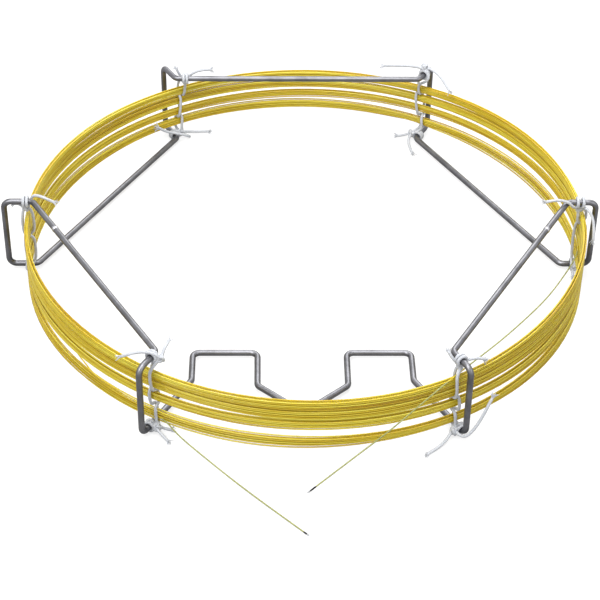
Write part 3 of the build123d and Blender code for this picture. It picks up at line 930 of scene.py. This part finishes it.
# ------------ operators
class OBJECT_OT_capillary(bpy.types.Operator):
    """Wind the capillary: its coil, its free ends and their sealed tips"""
    bl_idname = "object.capillary_coil"
    bl_label = "Capillary"

    def execute(self, context):
        settings = context.scene.coil_settings
        coil = coil_points(settings)
        route = np.concatenate([np.array(FREE_END_B[::-1]), coil, np.array(FREE_END_A)])
        piece = nurbs_line("capillary", route, resolution=5)
        piece.data.bevel_depth = settings.diameter / 2
        piece.data.bevel_resolution = settings.sides
        piece.data.use_fill_caps = True
        piece.data.materials.append(capillary_material(settings))
        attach(piece, "root")
        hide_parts("capillary_bundle_1", "capillary_bundle_2", "capillary_bundle_3",
                    "capillary_bundle_4", "free_end_a", "free_end_b")
        tips = []
        charred, clear = char_material(), bead_material()
        for letter, ends, char_length in (("a", FREE_END_A, CHAR_LENGTH_A),
                                          ("b", FREE_END_B, CHAR_LENGTH_B)):
            end = np.array(ends[-1])
            along = heading(ends[-2], end)
            stations = np.linspace(0, char_length, 24)
            share = stations / char_length
            swell = 1 + BURNT_SWELL * np.sqrt(np.sin(np.pi * share).clip(0))
            reach = CAPILLARY_DIAMETER / 2 * swell
            points, faces = turned(end, along, stations, reach, roughness=CHAR_DENTS,
                                   seed=5 + len(tips))
            tip = mesh_object(f"burnt_tip_{letter}", points, faces, charred)
            store_value(tip, "burn", np.repeat(share, TIP_COLUMNS))
            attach(tip, "root")
            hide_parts(f"charred_tip_{letter}")
            stations = BEAD_LENGTH * (1 - np.cos(np.linspace(0, np.pi, 20))) / 2
            round_end = np.clip((BEAD_LENGTH - stations) / (CAPILLARY_DIAMETER / 2), 0, 1)
            neck = 1 - BEAD_NECK + BEAD_NECK * smooth_step(stations / NECK_LENGTH)
            reach = CAPILLARY_DIAMETER / 2 * np.sqrt(1 - (1 - round_end) ** 2) * neck
            points, faces = turned(end + along * char_length, along, stations,
                                   np.maximum(reach, LEAST_RADIUS), roughness=BEAD_DENTS,
                                   seed=7)
            bead = mesh_object(f"melted_bead_{letter}", points, faces, clear)
            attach(bead, "root")
            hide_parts(f"glass_bead_{letter}")
            tips += [tip, bead]
        return {"FINISHED"}


class OBJECT_OT_ties(bpy.types.Operator):
    """Tie the coil to the cage: twelve strings and their knots"""
    bl_idname = "object.coil_ties"
    bl_label = "Ties"

    def execute(self, context):
        settings = context.scene.string_settings
        material = string_material(settings)
        for order, post in enumerate(TIES):
            for level in ("upper", "lower"):
                points, faces = joined(knot_parts(post, f"{level}_knot", f"{level}_lap"))
                knot = mesh_object(f"{level}_tied_knot_{post}", points, faces, material)
                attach(knot, "root")
                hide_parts(f"{level}_knot_{post}")
            for letter in ("a", "b"):
                route = string_route(post, letter)
                path = line_points(f"string_{post}_{letter}", route, resolution=8)
                points, faces = joined(string_parts(path, settings.diameter / MM / 2,
                                                    10 * order + (letter == "b")))
                string = mesh_object(f"string_{post}_{letter}", points, faces, material)
                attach(string, "root")
                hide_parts(f"tie_{post}_{letter}")
        return {"FINISHED"}


class OBJECT_OT_cage(bpy.types.Operator):
    """Finish the cage: satin wire and a weld bead on each side"""
    bl_idname = "object.wire_cage"
    bl_label = "Cage"

    def execute(self, context):
        settings = context.scene.wire_settings
        steel = wire_material(settings)
        for name in ("rear_wire", "front_wire"):
            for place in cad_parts[name].material_slots:
                place.material = steel
        tinted = weld_material()
        for seed, side in ((11, "left"), (12, "right")):
            start = post_place(side, (CORNER_RADIUS, 0, UPPER_Z))
            finish = post_place(f"front_{side}", (CORNER_RADIUS, 0, UPPER_Z))
            along = heading(start, finish)
            middle = start + along * WELD_SETBACK
            stations = np.linspace(-WELD_SLEEVE, WELD_SLEEVE, 61)
            hump = np.exp(-((stations / WELD_SPREAD) ** 2))
            reach = WIRE_RADIUS + SLEEVE_RISE + (WELD_RADIUS - WIRE_RADIUS - SLEEVE_RISE) * hump
            points, faces = turned(middle, along, stations, reach, roughness=WELD_DENTS,
                                   seed=seed, columns=WELD_COLUMNS)
            bead = mesh_object(f"weld_bead_{side}", points, faces, tinted)
            store_value(bead, "heat", np.repeat(np.abs(stations) / WELD_SLEEVE, WELD_COLUMNS))
            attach(bead, "root")
            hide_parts(f"weld_{side}")
        return {"FINISHED"}


class OBJECT_OT_stage(bpy.types.Operator):
    """Set the stage: floor, light all round, lamps and camera"""
    bl_idname = "object.coil_stage"
    bl_label = "Stage"

    def execute(self, context):
        settings = context.scene.stage_settings
        half = 3000.0
        corners = [(-half, -half, 0), (half, -half, 0), (half, half, 0), (-half, half, 0)]
        floor = mesh_object("floor", corners, [(0, 1, 2, 3)], floor_material(settings), False)

        world = bpy.data.worlds.new("surround")
        context.scene.world = world
        world.use_nodes = True
        tree = world.node_tree
        back = tree.nodes["Background"]
        back.inputs["Color"].default_value = (1.0, 1.0, 1.0, 1.0)
        path = add_node(tree, "LightPath")
        seen = math_node(tree, "MAXIMUM", path.outputs["Is Camera Ray"],
                         path.outputs["Is Glossy Ray"])
        seen = math_node(tree, "MAXIMUM", seen, path.outputs["Is Transmission Ray"])
        extra = math_node(tree, "MULTIPLY", seen, 1 - settings.surround)
        tree.links.new(math_node(tree, "ADD", extra, settings.surround),
                       back.inputs["Strength"])

        for name, place, size, energy in (
            ("key", (-0.80, -0.80, 1.40), 1.00, 15.5),
            ("fill", (1.10, -0.80, 0.90), 1.00, 4.0),
            ("rim", (0.20, 1.10, 1.00), 0.90, 8.0),
            ("over", (0.0, -0.05, 0.50), 0.35, 1.6),
        ):
            light = bpy.data.lights.new(name, "AREA")
            light.size = size
            light.energy = energy
            lamp = link(bpy.data.objects.new(name, light))
            aim = (0.0, 0.09, 0.012) if name == "over" else (0.0, 0.0, 0.012)
            direction = mathutils.Vector(aim) - mathutils.Vector(place)
            lamp.location = place
            lamp.rotation_euler = direction.to_track_quat("-Z", "Y").to_euler()

        place = np.array(CAMERA_PLACE)
        back_way = heading(CAMERA_TARGET, place)
        level = np.cross((0.0, 0.0, 1.0), back_way)
        level = level / np.linalg.norm(level)
        rise = np.cross(back_way, level)
        roll = math.radians(CAMERA_ROLL)
        right = math.cos(roll) * level + math.sin(roll) * rise
        up = -math.sin(roll) * level + math.cos(roll) * rise
        data = bpy.data.cameras.new("camera")
        data.lens = settings.lens
        data.sensor_width = 36.0
        data.clip_start = 0.01
        data.clip_end = 20.0
        camera = link(bpy.data.objects.new("camera", data))
        turn = mathutils.Matrix((right, up, back_way)).transposed().to_4x4()
        camera.matrix_world = mathutils.Matrix.Translation(place * MM) @ turn
        context.scene.camera = camera
        context.scene.view_settings.view_transform = "Standard"
        return {"FINISHED"}


class VIEW3D_PT_coil(bpy.types.Panel):
    bl_idname = "VIEW3D_PT_capillary_coil"
    bl_label = "Capillary coil"
    bl_space_type = "VIEW_3D"
    bl_region_type = "UI"
    bl_category = "Capillary coil"

    def draw(self, context):
        for operator in OPERATORS:
            self.layout.operator(operator.bl_idname)
        for name in ("coil_settings", "string_settings", "wire_settings", "stage_settings"):
            group = getattr(context.scene, name)
            box = self.layout.box()
            for key in group.bl_rna.properties.keys():
                if key not in ("rna_type", "name"):
                    box.prop(group, key)


OPERATORS = (OBJECT_OT_stage, OBJECT_OT_capillary, OBJECT_OT_ties, OBJECT_OT_cage)
CLASSES = (CoilSettings, StringSettings, WireSettings, StageSettings) + OPERATORS + (
    VIEW3D_PT_coil,)
GROUPS = (
    ("coil_settings", CoilSettings),
    ("string_settings", StringSettings),
    ("wire_settings", WireSettings),
    ("stage_settings", StageSettings),
)


def register():
    for each in CLASSES:
        bpy.utils.register_class(each)
    for name, group in GROUPS:
        setattr(bpy.types.Scene, name, PointerProperty(type=group))


def unregister():
    for name, _ in GROUPS:
        delattr(bpy.types.Scene, name)
    for each in reversed(CLASSES):
        bpy.utils.unregister_class(each)


def main():
    register()
    bpy.ops.object.coil_stage()
    bpy.ops.object.capillary_coil()
    bpy.ops.object.coil_ties()
    bpy.ops.object.wire_cage()
    bpy.context.view_layer.update()


if __name__ == "__main__":
    main()
